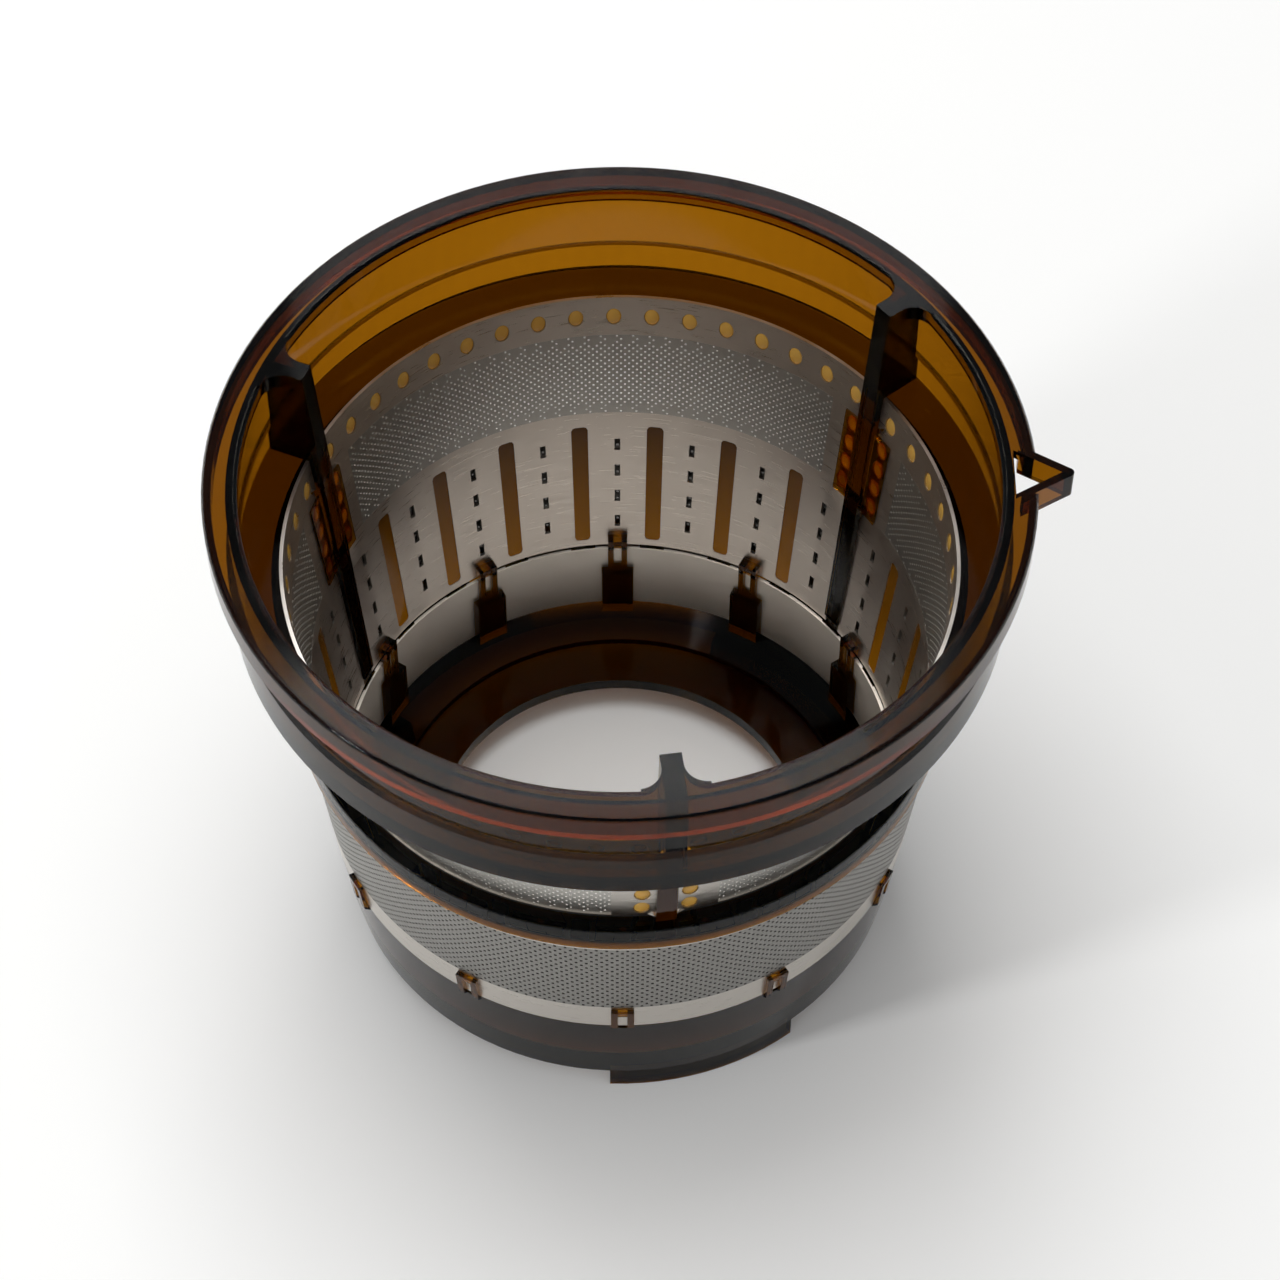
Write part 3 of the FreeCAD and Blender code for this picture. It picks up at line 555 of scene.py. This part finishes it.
def add_screen(number):
    """One perforated segment between two ribs: the plain sheet and the etched mesh in its window."""
    middle = RIB_ANGLE + (number - 0.5) * RIB_PITCH
    node = f"inner_screen_{number}"
    sheet = bmesh.new()
    plugs = bmesh.new()
    fillings = bmesh.new()
    add_anchor_strip(sheet, plugs)
    add_side_margins(sheet, plugs)
    add_slot_strip(sheet, fillings)
    add_sheet(f"slotted_screen_{number}", sheet, steel, node, screen_radius, SHEET, middle, RIB_PITCH / 2)
    for name, bm, plastic in (("anchor_plugs", plugs, plug_amber_painted_light), ("slot_fillings", fillings, slot_amber_painted_light)):
        wrap(bm, screen_radius, middle)
        piece = add_piece(f"{name}_{number}", bm, plastic, ["moulded_frame"])
        shade_smooth(piece, PLASTIC_SHARP)
    etched = bmesh.new()
    add_screen_mesh(etched)
    add_sheet(f"etched_mesh_{number}", etched, etched_steel, node, mesh_radius, ETCHED_SHEET, middle)


def add_sleeve():
    """Etched sleeve in a darkened steel that paints the shade in its holes, and its plain margins above and
    below.
    """
    mesh = bmesh.new()
    add_sleeve_mesh(mesh)
    add_sheet("perforated_sleeve", mesh, sleeve_steel_painted_shade, "outer_sleeve", sleeve_radius, SHEET)
    margins = bmesh.new()
    add_grid(margins, spaced(-180, 180, RING_SEGMENTS), [SLEEVE_BOTTOM, SLEEVE_MESH_BOTTOM])
    add_grid(margins, spaced(-180, 180, RING_SEGMENTS), [SLEEVE_MESH_TOP, SLEEVE_TOP])
    add_sheet("sleeve_margins", margins, steel, "outer_sleeve", sleeve_radius, SHEET)


def band_radius(level):
    """Outer radius of the lower band, the same at every level."""
    return LOWER_BAND_RADIUS + SKIN


def add_lower_band():
    """Plain band below the screens, in a paler steel that paints the light on it."""
    bm = bmesh.new()
    add_grid(bm, spaced(-180, 180, RING_SEGMENTS), [BAND_BOTTOM, BAND_TOP])
    add_sheet("plain_lower_band", bm, band_steel_painted_light, "lower_band", band_radius, SHEET)


# Moulded frame
def smooth_regions(bm):
    """Group faces that run into each other without a sharp edge, and number the groups."""
    region_of = {}
    regions = []
    for start in bm.faces:
        if start in region_of:
            continue
        region_of[start] = len(regions)
        members = [start]
        for face in members:
            for edge in face.edges:
                for other in edge.link_faces:
                    if other not in region_of and other.normal.angle(face.normal) < REGION_ANGLE:
                        region_of[other] = len(regions)
                        members.append(other)
        regions.append(members)
    return region_of, regions


def turned_direction(members):
    """Outward and upward share of a turned surface's normal, or None where the surface isn't turned."""
    outward = upward = across = 0.0
    for face in members:
        centre = face.calc_center_median()
        out = Vector((centre.x, centre.y, 0)).normalized()
        area = face.calc_area()
        outward += area * face.normal.dot(out)
        upward += area * face.normal.z
        across += area * abs(face.normal.dot(Vector((-out.y, out.x, 0))))
    if across > TURNED_LEAN * sum(face.calc_area() for face in members):
        return None
    return Vector((outward, upward)).normalized()


def meridian_width(members):
    """Width of a surface in the half plane through the axis."""
    points = [(math.hypot(v.co.x, v.co.y), v.co.z) for face in members for v in face.verts]
    radii, levels = zip(*points)
    return math.hypot(max(radii) - min(radii), max(levels) - min(levels))


def frame_normals(bm):
    """Normal for each face corner: true on turned surfaces, and turning smoothly across narrow bevels."""
    region_of, regions = smooth_regions(bm)
    directions = [turned_direction(members) for members in regions]
    widths = [meridian_width(members) for members in regions]
    normals = []
    for face in bm.faces:
        own = region_of[face]
        for vert in face.verts:
            source = own
            if directions[own] and widths[own] < BEVEL_WIDTH * MM:
                beside = {region_of[other] for other in vert.link_faces}
                turned = [r for r in beside if directions[r]]
                source = max(turned, key=lambda r: widths[r])
            if directions[source]:
                out = Vector((vert.co.x, vert.co.y, 0)).normalized() * directions[source].x
                normals.append(Vector((out.x, out.y, directions[source].y)))
            else:
                normals.append(face.normal.copy())
    return normals


def add_frame():
    """The frame's own solid, shaded as the turned and moulded surfaces that it has."""
    bm = bmesh.new()
    bm.from_mesh(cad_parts["moulded_frame"].data)
    bmesh.ops.remove_doubles(bm, verts=bm.verts, dist=SAME_PLACE * MM)
    bm.normal_update()
    normals = frame_normals(bm)
    piece = add_piece("moulded_frame_shell", bm, amber, ["moulded_frame"])
    piece.data.shade_smooth()
    piece.data.normals_split_custom_set(normals)


# Stage: floor, light and camera
def add_floor():
    """Pale floor that reads as white and keeps the shadow."""
    bm = bmesh.new()
    bmesh.ops.create_grid(bm, x_segments=1, y_segments=1, size=FLOOR_HALF_WIDTH)
    bmesh.ops.translate(bm, verts=bm.verts, vec=(0, 0, cad_box[0].z - FLOOR_GAP * MM))
    mesh = bpy.data.meshes.new("floor")
    bm.to_mesh(mesh)
    bm.free()
    floor = bpy.data.objects.new("floor", mesh)
    bpy.context.scene.collection.objects.link(floor)
    material, tree = new_material("white paper floor")
    paper = add_node(tree, "ShaderNodeBsdfDiffuse", inputs={"Color": hex_colour("#FAFAF9")})
    add_node(tree, "ShaderNodeOutputMaterial", inputs={"Surface": paper.outputs[0]})
    mesh.materials.append(material)


def add_softbox(name, place, size, power):
    """Square area light that points at the middle of the object."""
    lamp = bpy.data.lights.new(name, "AREA")
    lamp.size = size
    lamp.energy = power
    box = bpy.data.objects.new(name, lamp)
    box.location = place
    direction = box.location - Vector((0, 0, LAMP_AIM))
    box.rotation_euler = direction.to_track_quat("Z", "Y").to_euler()
    bpy.context.scene.collection.objects.link(box)


def add_light():
    """Soft light from above, weaker ones from the left and behind, and a surround that is white low down."""
    add_softbox("overhead softbox", place=(-0.1, 0.22, 0.95), size=0.6, power=4.6)
    add_softbox("rear softbox", place=(0, 0.6, 0.85), size=0.25, power=0.6)
    add_softbox("left softbox", place=(-0.8, -0.4, 0.5), size=0.12, power=2.7)
    world = bpy.data.worlds.new("pale surround")
    world.use_nodes = True
    tree = world.node_tree
    tree.nodes.clear()
    towards = add_node(tree, "ShaderNodeTexCoord").outputs["Generated"]
    height = add_node(tree, "ShaderNodeSeparateXYZ", inputs={"Vector": towards}).outputs["Z"]
    strength = add_node(tree, "ShaderNodeMapRange", inputs={
        "Value": height,
        "From Min": 0.15,
        "From Max": 0.55,
        "To Min": 1.0,
        "To Max": 0.4,
    })
    pale = add_node(tree, "ShaderNodeBackground", inputs={"Strength": strength.outputs[0]})
    pale.inputs["Color"].default_value = hex_colour("#FFFFFF")
    add_node(tree, "ShaderNodeOutputWorld", inputs={"Surface": pale.outputs[0]})
    bpy.context.scene.world = world


def add_camera():
    """Camera at the photograph's angle."""
    data = bpy.data.cameras.new("camera")
    data.lens = CAMERA_LENS
    data.shift_x = CAMERA_SHIFT
    camera = bpy.data.objects.new("camera", data)
    camera.location = (0, -CAMERA_BACK * MM, (RIM_TOP + CAMERA_UP) * MM)
    camera.rotation_euler = (math.radians(CAMERA_TILT), 0, 0)
    bpy.context.scene.collection.objects.link(camera)
    bpy.context.scene.camera = camera


add_frame()
for number in (1, 2, 3):
    add_screen(number)
add_sleeve()
add_lower_band()
add_floor()
add_light()
add_camera()
bpy.context.scene.view_settings.view_transform = "Standard"
